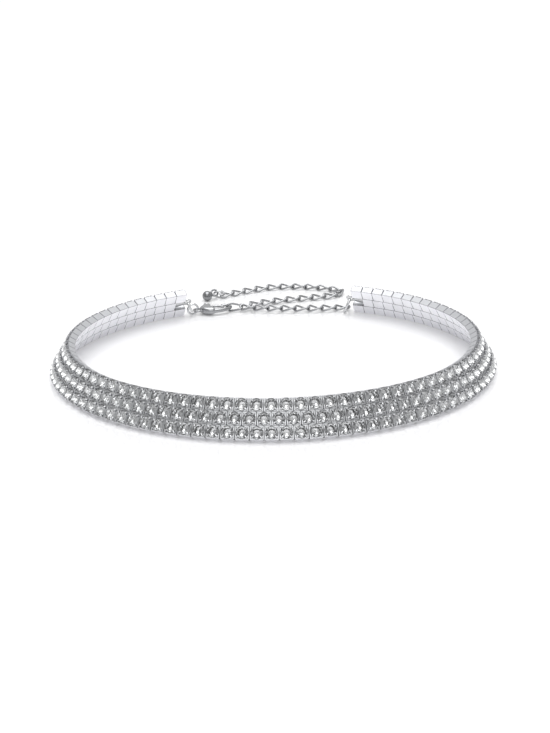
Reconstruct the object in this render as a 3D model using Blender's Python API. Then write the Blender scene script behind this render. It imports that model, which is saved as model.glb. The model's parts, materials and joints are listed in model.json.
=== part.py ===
"""A choker of three stone-set rows with a lobster clasp and an extender chain.

The collar stands on its lower edge. Lengths are in metres: X runs along the front, Y from
the front to the back, and Z is up. Every piece is built about the collar's own centre, and
one empty then puts the middle of the whole necklace at the origin.
"""

import math

import bmesh
import bpy
import numpy as np
from mathutils import Matrix, Vector

MM = 0.001
UP = np.array((0.0, 0.0, 1.0))

# Clearance between pieces that touch on the real necklace
GAP = 0.3 * MM

# Collar: the oval that its lower inner edge stands on, and the slope of its wall
BASE_HALF_WIDTH = 63.6 * MM
BASE_HALF_DEPTH = 52.4 * MM
FLARE = math.radians(32)
BACK_OPENING = math.radians(55.4)
LAY_SHIFT = 1.15 * MM
FRONT = math.radians(-90)

# Rows of set stones, from the lower edge up
ROW_NAMES = ("strand_bottom", "strand_middle", "strand_top")
CUP_PITCH = 3.75 * MM
CUP_LENGTH = 3.45 * MM
CUP_WIDTH = 3.4 * MM
CUP_DEPTH = 2.5 * MM
NECK_WIDTH = 2.6 * MM
NECK_DEPTH = 1.8 * MM
CUP_CORNER = 0.8 * MM
TABLE_DIAMETER = 1.9 * MM
CROWN_HEIGHT = 0.55 * MM

# End tabs, soldered from a tapered plate and a small loop
TAB_LENGTH = 3.9 * MM
TAB_ROOT_WIDTH = 2.9 * MM
TAB_TIP_WIDTH = 1.3 * MM
TAB_THICKNESS = 0.7 * MM
LOOP_HOLE = 1.5 * MM
LOOP_WIRE = 0.65 * MM

# Jump rings: outside diameters, one wire, and which way each one leans from its upper hold
RING_WIRE = 0.7 * MM
RING_DIAMETERS = {
    "jump_ring_right": 6.0 * MM,
    "jump_ring_left": 4.6 * MM,
    "clasp_ring": 4.2 * MM,
    "drop_ring": 4.4 * MM,
}
RIGHT_RING_LEAN = Vector((-0.31, 0.36, -0.88)).normalized()
LEFT_RING_LEAN = Vector((0.28, 0.34, -0.90)).normalized()
CLASP_RING_LEAN = Vector((0.74, 0.24, 0.63)).normalized()
CLASP_RING_TILT = Vector((0.83, 0.40, -0.40))
CLASP_RING_TURN = math.radians(46)
CHAIN_TURN = math.radians(24)
FIRST_ROLL = math.radians(7)
RIGHT_CHAIN_OFFSET = Vector((0.95, 0.1, 0.05)) * MM
DROP_RING_RISE = 0.42

# Extender chain of twisted links, each one sunk a little into the next as one solid
LINK_LENGTH = 5.65 * MM
LINK_WIDTH = 3.1 * MM
LINK_WIRE = 0.7 * MM
LINK_TWIST = math.radians(45)
LINK_SINK = 0.30 * MM
LINK_WIRE_SIDES = 5
NOSE_TURN = math.radians(-14)
CAUGHT_PULL = Vector((0.97, -0.05, 0.0)).normalized()

# Lobster clasp, lying on its side
CLASP_LENGTH = 13.6 * MM
CLASP_WIDTH = 6.8 * MM
CLASP_THICKNESS = 2.4 * MM
CLASP_YAW = math.radians(16)
CLASP_EYE_HOLE = 2.0 * MM
CLASP_EYE_WIRE = 0.7 * MM
HOOK_ROOT_WIRE = 1.7 * MM
HOOK_NOSE_WIRE = 1.0 * MM
LEVER_THICKNESS = 1.0 * MM
LEVER_ARM_WIRE = 0.9 * MM
BOSS_DIAMETER = 2.3 * MM
PIN_DIAMETER = 0.8 * MM
TRIGGER_LENGTH = 2.2 * MM

# Clasp body outline, as shares of the clasp's length from its eye and of its width
CLASP_OUTLINE = (
    (0.17, -0.12),
    (0.26, -0.33),
    (0.38, -0.48),
    (0.52, -0.50),
    (0.53, -0.27),
    (0.46, -0.14),
    (0.45, 0.10),
    (0.49, 0.26),
    (0.50, 0.42),
    (0.40, 0.46),
    (0.27, 0.32),
    (0.17, 0.12),
)
HOOK_CENTRE = 0.62
HOOK_START = math.radians(-118)
HOOK_END = math.radians(62)
PIVOT = (0.41, 0.21)
LEVER_ARM = ((0.41, 0.21), (0.53, 0.29), (0.64, 0.27), (0.73, 0.165), (0.78, 0.12))

# Ball drop at the chain's free end
BALL_DIAMETER = 3.5 * MM
DROP_LOOP_HOLE = 1.6 * MM
DROP_LOOP_WIRE = 0.7 * MM

# The tail's route over the surface, from the clasp out to the right and back to the drop.
# Heights are above the height that a link rests at.
TAIL_ROUTE = [
    Vector((-5.2, 54.6, 0.3)) * MM,
    Vector((2.7, 58.1, 0.0)) * MM,
    Vector((9.7, 59.9, 0.0)) * MM,
    Vector((16.4, 61.2, 0.0)) * MM,
    Vector((21.4, 62.6, 0.0)) * MM,
    Vector((24.9, 66.4, 0.0)) * MM,
    Vector((21.2, 69.8, 0.0)) * MM,
    Vector((13.6, 72.6, 0.0)) * MM,
    Vector((6.5, 73.6, 0.0)) * MM,
    Vector((-0.7, 73.0, 0.0)) * MM,
    Vector((-7.8, 70.2, 0.0)) * MM,
    Vector((-13.6, 67.0, 0.0)) * MM,
    Vector((-18.4, 64.3, 0.05)) * MM,
]


def clear_scene():
    for item in list(bpy.data.objects):
        bpy.data.objects.remove(item, do_unlink=True)


def material(name, colour, roughness, metallic):
    made = bpy.data.materials.new(name)
    made.use_nodes = True
    shader = made.node_tree.nodes["Principled BSDF"]
    shader.inputs["Base Color"].default_value = (*colour, 1.0)
    shader.inputs["Roughness"].default_value = roughness
    shader.inputs["Metallic"].default_value = metallic
    return made


def add_object(name, data, finish, parent, matrix=None):
    item = bpy.data.objects.new(name, data)
    bpy.context.collection.objects.link(item)
    if not data.materials:
        data.materials.append(finish)
    item.parent = parent
    if matrix is not None:
        item.matrix_basis = matrix
    return item


def add_empty(name, parent=None, matrix=None):
    item = bpy.data.objects.new(name, None)
    bpy.context.collection.objects.link(item)
    item.parent = parent
    if matrix is not None:
        item.matrix_basis = matrix
    return item


def frame_of(origin, along, up):
    """Matrix whose X axis runs along a direction and whose Z axis leans to another."""
    x_axis = Vector(along).normalized()
    y_axis = Vector(up).cross(x_axis).normalized()
    z_axis = x_axis.cross(y_axis)
    matrix = Matrix((x_axis, y_axis, z_axis)).transposed().to_4x4()
    matrix.translation = Vector(origin)
    return matrix


def mesh_from(name, vertices, faces):
    """Closed mesh with its faces turned outwards."""
    shape = bmesh.new()
    placed = [shape.verts.new(tuple(vertex)) for vertex in vertices]
    for face in faces:
        shape.faces.new([placed[index] for index in face])
    bmesh.ops.recalc_face_normals(shape, faces=shape.faces)
    mesh = bpy.data.meshes.new(name)
    shape.to_mesh(mesh)
    shape.free()
    return mesh


def wire(name, points, diameters, closed):
    """Round wire through a list of points, as thick at each point as its diameter says."""
    curve = bpy.data.curves.new(name, "CURVE")
    curve.dimensions = "3D"
    curve.bevel_depth = max(diameters) / 2
    curve.bevel_resolution = 1
    curve.use_fill_caps = True
    spline = curve.splines.new("POLY")
    spline.points.add(len(points) - 1)
    for target, point, diameter in zip(spline.points, points, diameters):
        target.co = (*point, 1.0)
        target.radius = diameter / max(diameters)
    spline.use_cyclic_u = closed
    return curve


def circle(radius, sides):
    turns = [2 * math.pi * step / sides for step in range(sides)]
    return [Vector((radius * math.cos(turn), radius * math.sin(turn), 0)) for turn in turns]


def ring_wire(name, centre_diameter, thickness, sides=11):
    return wire(name, circle(centre_diameter / 2, sides), [thickness] * sides, True)


def prism(name, outline, thickness):
    """Flat plate of a given outline, centred on its own plane."""
    count = len(outline)
    low = [Vector((x, y, -thickness / 2)) for x, y in outline]
    high = [Vector((x, y, thickness / 2)) for x, y in outline]
    sides = [
        (i, (i + 1) % count, count + (i + 1) % count, count + i) for i in range(count)
    ]
    faces = [tuple(range(count)), tuple(range(count, 2 * count)), *sides]
    return mesh_from(name, low + high, faces)


def combine(target, helpers, operation):
    """Boolean of hidden helper shapes with an object, kept as its modifiers."""
    for index, helper in enumerate(helpers):
        helper.hide_render = True
        helper.display_type = "WIRE"
        cut = target.modifiers.new(f"{operation.lower()}_{index}", "BOOLEAN")
        cut.operation = operation
        cut.solver = "EXACT"
        cut.object = helper


def solid_mesh(name, curve):
    """Mesh of a curve, for use in a Boolean."""
    carrier = bpy.data.objects.new(name + "_curve", curve)
    mesh = bpy.data.meshes.new_from_object(carrier)
    mesh.name = name
    bpy.data.objects.remove(carrier)
    return mesh


def collar_point(angle, slant, depth):
    """Point of the collar: up its slope by slant, and out from its inner face by depth."""
    normal = np.array((math.cos(angle) / BASE_HALF_WIDTH, math.sin(angle) / BASE_HALF_DEPTH, 0))
    normal /= np.linalg.norm(normal)
    base = np.array((BASE_HALF_WIDTH * math.cos(angle), BASE_HALF_DEPTH * math.sin(angle), 0))
    out = depth * math.cos(FLARE) - slant * math.sin(FLARE)
    rise = slant * math.cos(FLARE) + depth * math.sin(FLARE)
    return base + out * normal + rise * UP


def collar_axes(angle):
    """Directions along the row, up the slope and out of the face at an angle."""
    normal = np.array((math.cos(angle) / BASE_HALF_WIDTH, math.sin(angle) / BASE_HALF_DEPTH, 0))
    normal /= np.linalg.norm(normal)
    along = np.cross(UP, normal)
    slope = UP * math.cos(FLARE) - normal * math.sin(FLARE)
    out = normal * math.cos(FLARE) + UP * math.sin(FLARE)
    return along, slope, out


def row_slant(row):
    return (row + 0.5) * CUP_WIDTH + row * GAP


class RowPath:
    """One row's centreline, measured from the front, and the cups that fit along it."""

    def __init__(self, row):
        self.row = row
        self.slant = row_slant(row)
        self.angles = np.linspace(FRONT - math.radians(175), FRONT + math.radians(175), 3501)
        places = [collar_point(angle, self.slant, CUP_DEPTH / 2) for angle in self.angles]
        steps = np.linalg.norm(np.diff(places, axis=0), axis=1)
        self.arcs = np.concatenate(([0.0], np.cumsum(steps)))
        self.arcs -= np.interp(FRONT, self.angles, self.arcs)
        reach = math.pi - BACK_OPENING / 2
        span = np.interp((FRONT - reach, FRONT + reach), self.angles, self.arcs)
        self.count = self.cups_in(span[1] - span[0])

    def cups_in(self, span):
        """An even number of cups, or an odd one in the middle row, which sits half a cup over."""
        if self.row == 1:
            return 2 * round((span / CUP_PITCH - 1) / 2 - 0.5) + 1
        return 2 * round(span / CUP_PITCH / 2)

    def angle(self, place):
        """Angle of the oval at a distance along the row from its middle."""
        return float(np.interp(place + LAY_SHIFT, self.arcs, self.angles))

    def half_length(self):
        return ((self.count - 1) * CUP_PITCH + CUP_LENGTH) / 2


def row_point(path, place, across, depth):
    """Point of a row: place along it, across it from its middle, and out from its inner face."""
    return collar_point(path.angle(place), path.slant + across, depth)


def cup_section(path, place):
    """Four corners of a cup's end: two on its inner face and two at its mouth."""
    base = CUP_WIDTH / 2
    mouth = CUP_WIDTH / 2 - CUP_CORNER
    corners = ((-base, 0), (base, 0), (mouth, CUP_DEPTH), (-mouth, CUP_DEPTH))
    return [row_point(path, place, across, depth) for across, depth in corners]


def neck_section(path, place):
    """Four corners of the narrow neck between two cups."""
    half = NECK_WIDTH / 2
    inner = (CUP_DEPTH - NECK_DEPTH) / 2
    outer = inner + NECK_DEPTH
    corners = ((-half, inner), (half, inner), (half, outer), (-half, outer))
    return [row_point(path, place, across, depth) for across, depth in corners]


def sleeve(first, second):
    """Side faces between two cross-sections."""
    return [(first[i], first[(i + 1) % 4], second[(i + 1) % 4], second[i]) for i in range(4)]


def strand(row):
    """A row of cups joined by narrow necks, each cup's mouth closed by its stone's crown."""
    path = RowPath(row)
    vertices = []
    faces = []
    previous = None
    for cup in range(path.count):
        centre = (cup - (path.count - 1) / 2) * CUP_PITCH
        start = len(vertices)
        vertices += cup_section(path, centre - CUP_LENGTH / 2)
        vertices += cup_section(path, centre + CUP_LENGTH / 2)
        near = range(start, start + 4)
        far = range(start + 4, start + 8)
        if previous is None:
            faces.append(tuple(near))
        else:
            faces += sleeve(previous, near)
        faces += cup_faces(vertices, path, centre, near, far)
        if cup == path.count - 1:
            faces.append(tuple(far))
            continue
        neck = range(len(vertices), len(vertices) + 4)
        vertices += neck_section(path, centre + CUP_PITCH / 2)
        faces += sleeve(far, neck)
        previous = neck
    return mesh_from(ROW_NAMES[row], vertices, faces)


def cup_faces(vertices, path, centre, near, far):
    """Cup between its two ends, with an eight-sided mouth, and the stone's facets and table."""
    start = len(vertices)
    reach = CUP_LENGTH / 2 - CUP_CORNER
    for across in (CUP_WIDTH / 2, -CUP_WIDTH / 2):
        for place in (centre + reach, centre - reach):
            vertices.append(row_point(path, place, across, CUP_DEPTH))
    high_far, high_near, low_far, low_near = range(start, start + 4)

    start = len(vertices)
    crown_top = CUP_DEPTH + CROWN_HEIGHT
    for along, across in ((1, 0), (0, 1), (-1, 0), (0, -1)):
        place = centre + along * TABLE_DIAMETER / 2
        vertices.append(row_point(path, place, across * TABLE_DIAMETER / 2, crown_top))
    table = range(start, start + 4)

    faces = [
        (near[0], near[1], far[1], far[0]),
        (near[1], near[2], high_near),
        (near[1], high_near, high_far, far[1]),
        (far[1], high_far, far[2]),
        (near[0], low_near, near[3]),
        (near[0], far[0], low_far, low_near),
        (far[0], far[3], low_far),
        tuple(table),
    ]
    girdle = (far[2], high_far, high_near, near[2], near[3], low_near, low_far, far[3])
    for side in range(4):
        first, second = girdle[2 * side], girdle[2 * side + 1]
        third = girdle[(2 * side + 2) % len(girdle)]
        after = table[(side + 1) % 4]
        faces.append((first, second, after, table[side]))
        faces.append((second, third, after))
    return faces


def tab_frame(side):
    """Frame at a middle row's end: X away from the row, Y up the slope or down it."""
    path = RowPath(1)
    angle = path.angle(side * path.half_length())
    along, _, out = collar_axes(angle)
    origin = collar_point(angle, path.slant, CUP_DEPTH / 2)
    return frame_of(origin, side * along, out)


def loop_place(side):
    """Centre of an end tab's loop, and the direction that its hole runs in."""
    frame = tab_frame(side)
    centre = frame @ Vector((TAB_LENGTH + (LOOP_HOLE + LOOP_WIRE) / 2, 0, 0))
    return centre, frame.to_3x3() @ Vector((0, 0, 1))


def end_tab(name, side, finish, parent):
    frame = tab_frame(side)
    overlap = LOOP_WIRE / 2
    outline = (
        (GAP, -TAB_ROOT_WIDTH / 2),
        (TAB_LENGTH + overlap, -TAB_TIP_WIDTH / 2),
        (TAB_LENGTH + overlap, TAB_TIP_WIDTH / 2),
        (GAP, TAB_ROOT_WIDTH / 2),
    )
    tab = add_object(name, prism(name, outline, TAB_THICKNESS), finish, parent, frame)
    centre_diameter = LOOP_HOLE + LOOP_WIRE
    loop_mesh = solid_mesh(name + "_loop", ring_wire(name + "_loop", centre_diameter, LOOP_WIRE))
    shift = Matrix.Translation((TAB_LENGTH + centre_diameter / 2, 0, 0))
    loop = add_object(name + "_loop", loop_mesh, finish, parent, frame @ shift)
    combine(tab, [loop], "UNION")


def jump_ring(name, start, lean, axis_hint, finish, parent):
    """Ring whose wire passes through start and whose opposite side lies along lean.

    Returns a function that gives the wire's place at a turn from that opposite side.
    """
    centre_diameter = RING_DIAMETERS[name] - RING_WIRE
    centre = start + lean * centre_diameter / 2
    across = (axis_hint - lean * axis_hint.dot(lean)).normalized()
    matrix = frame_of(centre, lean, lean.cross(across))
    add_object(name, ring_wire(name, centre_diameter, RING_WIRE), finish, parent, matrix)

    def wire_at(turn):
        return centre + (lean * math.cos(turn) + across * math.sin(turn)) * centre_diameter / 2

    return wire_at


def link_points():
    """Centreline of a link: two round ends turned against each other about its length."""
    half_length = (LINK_LENGTH - LINK_WIRE) / 2
    half_width = (LINK_WIDTH - LINK_WIRE) / 2
    points = []
    for end in (1, -1):
        for step in (-2, -1, 0, 1, 2):
            turn = step * math.pi / 4
            x = end * (half_length - half_width + half_width * math.cos(turn))
            across = end * half_width * math.sin(turn)
            twist = -LINK_TWIST * x / half_length
            points.append(Vector((x, across * math.cos(twist), across * math.sin(twist))))
    return points


def link_mesh():
    """One link: a wire with few flat sides round its centreline."""
    points = link_points()
    half_length = (LINK_LENGTH - LINK_WIRE) / 2
    vertices = []
    for before, point, after in zip([points[-1], *points], points, [*points[1:], points[0]]):
        tangent = (after - before).normalized()
        twist = -LINK_TWIST * point.x / half_length
        side = Vector((0, -math.sin(twist), math.cos(twist))).cross(tangent).normalized()
        for step in range(LINK_WIRE_SIDES):
            turn = 2 * math.pi * step / LINK_WIRE_SIDES
            reach = side * math.cos(turn) + tangent.cross(side) * math.sin(turn)
            vertices.append(point + reach * LINK_WIRE / 2)
    faces = []
    for ring in range(len(points)):
        low = ring * LINK_WIRE_SIDES
        high = (ring + 1) % len(points) * LINK_WIRE_SIDES
        for step in range(LINK_WIRE_SIDES):
            after = (step + 1) % LINK_WIRE_SIDES
            faces.append((low + step, low + after, high + after, high + step))
    return mesh_from("link", vertices, faces)


def link_rest_height():
    return LINK_WIRE / 2 - min(point.z for point in link_points())


def link_pitch():
    """Distance from joint to joint of the chain."""
    return LINK_LENGTH - 2 * LINK_WIRE + LINK_SINK


def smooth_route(points, detail=150):
    """Fine points of a smooth curve through a few chosen ones."""
    ends = [2 * points[0] - points[1], *points, 2 * points[-1] - points[-2]]
    fine = []
    for before, first, second, after in zip(ends, ends[1:], ends[2:], ends[3:]):
        for step in range(detail):
            t = step / detail
            start_share = 2 * t**3 - 3 * t**2 + 1
            start_pull = (t**3 - 2 * t**2 + t) / 2
            end_pull = (t**3 - t**2) / 2
            place = start_share * first + (1 - start_share) * second
            fine.append(place + start_pull * (second - before) + end_pull * (after - first))
    return [*fine, points[-1]]


def joints_along(fine):
    """Joints one pitch apart along a finely divided route."""
    joints = [fine[0]]
    for before, after in zip(fine, fine[1:]):
        if (after - joints[-1]).length >= link_pitch():
            near = (before - joints[-1]).length
            far = (after - joints[-1]).length
            joints.append(before.lerp(after, (link_pitch() - near) / (far - near)))
    return joints


def bowed_run(start, end):
    """Joints of whole links from one point to another, with the slack taken up as a bow."""
    straight = (end - start).length
    links = math.ceil(straight / link_pitch())
    least = 0.0
    most = straight
    steps = [step / 600 for step in range(601)]

    def joints_at(bow):
        return joints_along([start.lerp(end, t) - Vector((0, 4 * bow * t * (1 - t), 0)) for t in steps])

    while most - least > 0.0001 * MM:
        bow = (least + most) / 2
        if len(joints_at(bow)) <= links:
            least = bow
        else:
            most = bow
    return joints_at(most)


def link_frame(first, second, roll=0.0):
    matrix = frame_of((first + second) / 2, second - first, UP)
    return matrix @ Matrix.Rotation(roll, 4, "X")


def extender_chain(name, chain_start, nose, finish, parent):
    """Run from the right ring to the link caught in the clasp, and the tail after it.

    Returns the tail's last two joints.
    """
    rest = Vector((0, 0, link_rest_height()))
    half = (LINK_LENGTH - LINK_WIRE) / 2
    caught_start = nose - CAUGHT_PULL * (HOOK_NOSE_WIRE / 2 + GAP + LINK_WIRE / 2)
    caught_frame = link_frame(caught_start, caught_start + CAUGHT_PULL * 2 * half, LINK_TWIST)
    caught_end = caught_start + CAUGHT_PULL * (link_pitch() + (LINK_WIRE - LINK_SINK) / 2)

    run = bowed_run(caught_end, chain_start)
    tail = joints_along(smooth_route([caught_end, *[point + rest for point in TAIL_ROUTE]]))
    frames = [link_frame(second, first) for first, second in zip(run, run[1:])]
    frames[-1] = link_frame(run[-1], run[-2], FIRST_ROLL)
    frames += [link_frame(first, second) for first, second in zip(tail, tail[1:])]

    link = link_mesh()
    links = bpy.data.collections.new("chain_links")
    bpy.context.scene.collection.children.link(links)
    chain = add_object(name, link.copy(), finish, parent, caught_frame)
    for index, frame in enumerate(frames):
        helper = add_object(f"link_{index + 1:02d}", link, finish, parent, frame)
        helper.hide_render = True
        helper.display_type = "WIRE"
        bpy.context.collection.objects.unlink(helper)
        links.objects.link(helper)
    union = chain.modifiers.new("links", "BOOLEAN")
    union.operation = "UNION"
    union.solver = "EXACT"
    union.operand_type = "COLLECTION"
    union.collection = links
    return tail[-2], tail[-1]


def clasp_point(length_share, width_share):
    """Point of the clasp in its own frame, which starts at the end of its eye."""
    return Vector((length_share * CLASP_LENGTH, width_share * CLASP_WIDTH, 0))


def hook_point(turn):
    """Point of the hook's centreline at a turn from the nose."""
    half_length = CLASP_LENGTH * (1 - HOOK_CENTRE) - HOOK_NOSE_WIRE / 2
    half_width = (CLASP_WIDTH - HOOK_ROOT_WIRE) / 2
    centre = clasp_point(HOOK_CENTRE, 0)
    return centre + Vector((half_length * math.cos(turn), half_width * math.sin(turn), 0))


def clasp_eye_centre():
    return Vector(((CLASP_EYE_HOLE / 2 + CLASP_EYE_WIRE), 0, 0))


def clasp_body(finish, clasp):
    outline = [clasp_point(*share)[:2] for share in CLASP_OUTLINE]
    body = add_object("clasp_body", prism("clasp_body", outline, CLASP_THICKNESS), finish, clasp)
    pivot = clasp_point(*PIVOT)
    room = BOSS_DIAMETER / 2 + GAP
    slot_outline = (
        (pivot.x - room, pivot.y - room),
        (clasp_point(0.60, 0).x, pivot.y - room),
        (clasp_point(0.60, 0).x, CLASP_WIDTH),
        (pivot.x - room, CLASP_WIDTH),
    )
    slot_mesh = prism("clasp_slot", slot_outline, LEVER_THICKNESS + 2 * GAP)
    slot = add_object("clasp_slot", slot_mesh, finish, clasp)
    combine(body, [slot], "DIFFERENCE")

    pin_outline = [point[:2] for point in circle(PIN_DIAMETER / 2, 8)]
    pin_mesh = prism("clasp_pin", pin_outline, CLASP_THICKNESS - GAP)
    pin = add_object("clasp_pin", pin_mesh, finish, clasp, Matrix.Translation(pivot))

    turns = np.linspace(HOOK_START, HOOK_END, 10)
    shares = np.clip((turns - HOOK_START) / (math.radians(-20) - HOOK_START), 0, 1)
    sizes = [HOOK_ROOT_WIRE + share * (HOOK_NOSE_WIRE - HOOK_ROOT_WIRE) for share in shares]
    hook_curve = wire("clasp_hook", [hook_point(turn) for turn in turns], sizes, False)
    hook = add_object("clasp_hook", solid_mesh("clasp_hook", hook_curve), finish, clasp)

    eye_curve = ring_wire("clasp_eye", CLASP_EYE_HOLE + CLASP_EYE_WIRE, CLASP_EYE_WIRE)
    eye_shift = Matrix.Translation(clasp_eye_centre())
    eye = add_object("clasp_eye", solid_mesh("clasp_eye", eye_curve), finish, clasp, eye_shift)
    combine(body, [pin, hook, eye], "UNION")


def clasp_lever(finish, clasp):
    """Sprung lever: a boss round the pin, an arm that closes the hook and a trigger."""
    pivot = clasp_point(*PIVOT)
    hinge = add_empty("lever_pivot", clasp, Matrix.Translation(pivot))
    boss_outline = [point[:2] for point in circle(BOSS_DIAMETER / 2, 12)]
    boss_mesh = prism("clasp_lever", boss_outline, LEVER_THICKNESS)
    lever = add_object("clasp_lever", boss_mesh, finish, hinge)

    path = [clasp_point(*share) - pivot for share in LEVER_ARM]
    arm_curve = wire("lever_arm", path, [LEVER_ARM_WIRE] * len(path), False)
    arm = add_object("lever_arm", solid_mesh("lever_arm", arm_curve), finish, hinge)
    reach = Vector((-0.1, 1.0, 0)).normalized() * (BOSS_DIAMETER / 2 + TRIGGER_LENGTH)
    trigger_curve = wire("lever_trigger", [reach * 0.2, reach], [LEVER_ARM_WIRE] * 2, False)
    trigger = add_object("lever_trigger", solid_mesh("lever_trigger", trigger_curve), finish, hinge)
    combine(lever, [arm, trigger], "UNION")

    hole_outline = [point[:2] for point in circle(PIN_DIAMETER / 2 + GAP, 10)]
    hole_mesh = prism("lever_hole", hole_outline, 2 * CLASP_THICKNESS)
    hole = add_object("lever_hole", hole_mesh, finish, hinge)
    combine(lever, [hole], "DIFFERENCE")


def ball_drop(hang_point, along, loop_axis, finish, parent):
    """Ball with a wire loop, lying on the surface at the chain's free end."""
    centre_diameter = DROP_LOOP_HOLE + DROP_LOOP_WIRE
    reach = (BALL_DIAMETER + centre_diameter) / 2
    direction = Vector((along.x, along.y, 0)).normalized()
    centre = hang_point + direction * reach
    centre.z = BALL_DIAMETER / 2
    to_loop = (hang_point - centre).normalized()
    shape = bmesh.new()
    bmesh.ops.create_uvsphere(shape, u_segments=12, v_segments=7, radius=BALL_DIAMETER / 2)
    mesh = bpy.data.meshes.new("ball_drop")
    shape.to_mesh(mesh)
    shape.free()
    ball = add_object("ball_drop", mesh, finish, parent, frame_of(centre, to_loop, UP))
    loop_mesh = solid_mesh("drop_loop", ring_wire("drop_loop", centre_diameter, DROP_LOOP_WIRE))
    loop_frame = frame_of(centre + to_loop * reach, to_loop, loop_axis)
    loop = add_object("drop_loop", loop_mesh, finish, parent, loop_frame)
    combine(ball, [loop], "UNION")


def smooth_wires():
    """Smooth shading on round pieces, flat on the plates, cups and stones."""
    for item in bpy.data.objects:
        if item.type == "CURVE":
            for spline in item.data.splines:
                spline.use_smooth = True
        elif item.type == "MESH" and not item.name.startswith("strand"):
            item.data.shade_smooth()
            item.data.set_sharp_from_angle(angle=math.radians(40))


def centre_on_origin(placement):
    """Moves everything so that the middle of the visible pieces' footprint is the origin."""
    bpy.context.view_layer.update()
    graph = bpy.context.evaluated_depsgraph_get()
    places = []
    for item in bpy.data.objects:
        if item.type in ("MESH", "CURVE") and not item.hide_render:
            seen = item.evaluated_get(graph)
            mesh = seen.to_mesh()
            places += [seen.matrix_world @ vertex.co for vertex in mesh.vertices]
            seen.to_mesh_clear()
    low = [min(place[axis] for place in places) for axis in range(3)]
    high = [max(place[axis] for place in places) for axis in range(3)]
    placement.location = (-(low[0] + high[0]) / 2, -(low[1] + high[1]) / 2, -low[2])


def main():
    clear_scene()
    setting = material("plated_setting", (0.78, 0.79, 0.80), 0.25, 1.0)
    metal = material("plated_metal", (0.80, 0.81, 0.82), 0.15, 1.0)
    choker = add_empty("choker")

    for row in range(len(ROW_NAMES)):
        add_object(ROW_NAMES[row], strand(row), setting, choker)
    end_tab("end_tab_right", 1, metal, choker)
    end_tab("end_tab_left", -1, metal, choker)

    hold, axis = loop_place(1)
    right_ring = jump_ring("jump_ring_right", hold, RIGHT_RING_LEAN, axis, metal, choker)
    chain_hold = right_ring(CHAIN_TURN)
    chain_start = chain_hold + RIGHT_CHAIN_OFFSET

    hold, axis = loop_place(-1)
    left_ring = jump_ring("jump_ring_left", hold, LEFT_RING_LEAN, axis, metal, choker)
    hold = left_ring(0) - CLASP_RING_LEAN * (RING_WIRE + GAP)
    clasp_ring = jump_ring("clasp_ring", hold, CLASP_RING_LEAN, CLASP_RING_TILT, metal, choker)
    eye_place = clasp_ring(CLASP_RING_TURN)
    eye_place.z = LINK_WIDTH / 2
    clasp_matrix = Matrix.Translation(eye_place) @ Matrix.Rotation(CLASP_YAW, 4, "Z")
    clasp_matrix = clasp_matrix @ Matrix.Translation(-clasp_eye_centre())
    clasp = add_empty("clasp", choker, clasp_matrix)
    clasp_body(metal, clasp)
    clasp_lever(metal, clasp)

    nose = clasp_matrix @ hook_point(NOSE_TURN)
    joints = extender_chain("extender_chain", chain_start, nose, metal, choker)

    last_pull = (joints[1] - joints[0]).normalized()
    drop_lean = (last_pull + Vector(UP) * DROP_RING_RISE).normalized()
    drop_tilt = Vector(UP) + Vector(UP).cross(last_pull)
    hold = joints[1] - last_pull * (LINK_SINK / 2 + GAP + RING_WIRE / 2)
    drop_ring = jump_ring("drop_ring", hold, drop_lean, drop_tilt, metal, choker)
    ball_drop(drop_ring(0), last_pull, drop_tilt, metal, choker)

    smooth_wires()
    centre_on_origin(choker)


main()
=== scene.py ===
import json
import math
import random

import bmesh
import bpy
import numpy as np
from mathutils import Matrix, Vector


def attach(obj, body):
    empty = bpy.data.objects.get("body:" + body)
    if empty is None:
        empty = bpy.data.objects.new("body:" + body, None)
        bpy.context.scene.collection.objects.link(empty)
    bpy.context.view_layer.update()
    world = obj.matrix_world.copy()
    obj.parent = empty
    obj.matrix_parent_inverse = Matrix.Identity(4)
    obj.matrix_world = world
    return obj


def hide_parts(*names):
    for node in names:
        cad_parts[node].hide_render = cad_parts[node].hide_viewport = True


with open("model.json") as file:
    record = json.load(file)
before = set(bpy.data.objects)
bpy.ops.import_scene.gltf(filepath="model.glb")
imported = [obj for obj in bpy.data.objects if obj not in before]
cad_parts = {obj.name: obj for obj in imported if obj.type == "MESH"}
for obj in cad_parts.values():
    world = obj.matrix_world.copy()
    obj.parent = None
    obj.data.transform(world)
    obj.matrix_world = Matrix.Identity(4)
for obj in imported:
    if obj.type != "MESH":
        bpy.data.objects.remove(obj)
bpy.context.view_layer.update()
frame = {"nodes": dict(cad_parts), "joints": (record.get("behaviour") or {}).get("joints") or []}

# The choker's looks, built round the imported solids. Lengths are in metres: X along the front,
# Y from the front to the open back, Z up. The collar's own centre lies behind the origin,
# which is the middle of the whole footprint with the extender chain's tail.

MM = 0.001
UP = Vector((0, 0, 1))
CHOKER = "choker"
LEVER = "clasp_lever"
COLLAR_CENTRE = Vector((0.009, -10.204, 0.035)) * MM
GAP = 0.3 * MM

# Collar, as in the solids: its lower inner oval, the slope of its wall and its three rows, each
# with its solid and its count of cups
BASE_HALF_WIDTH = 63.6 * MM
BASE_HALF_DEPTH = 52.4 * MM
FLARE = math.radians(32)
FRONT = math.radians(-90)
LAY_SHIFT = 1.15 * MM
ROWS = (
    ("bottom_row", "strand_bottom", 82),
    ("middle_row", "strand_middle", 77),
    ("top_row", "strand_top", 76),
)
ROW_REACH = math.radians(175)
ROW_STEPS = 3501
CUP_PITCH = 3.75 * MM
CUP_LENGTH = 3.45 * MM
CUP_WIDTH = 3.4 * MM
CUP_DEPTH = 2.5 * MM

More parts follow.
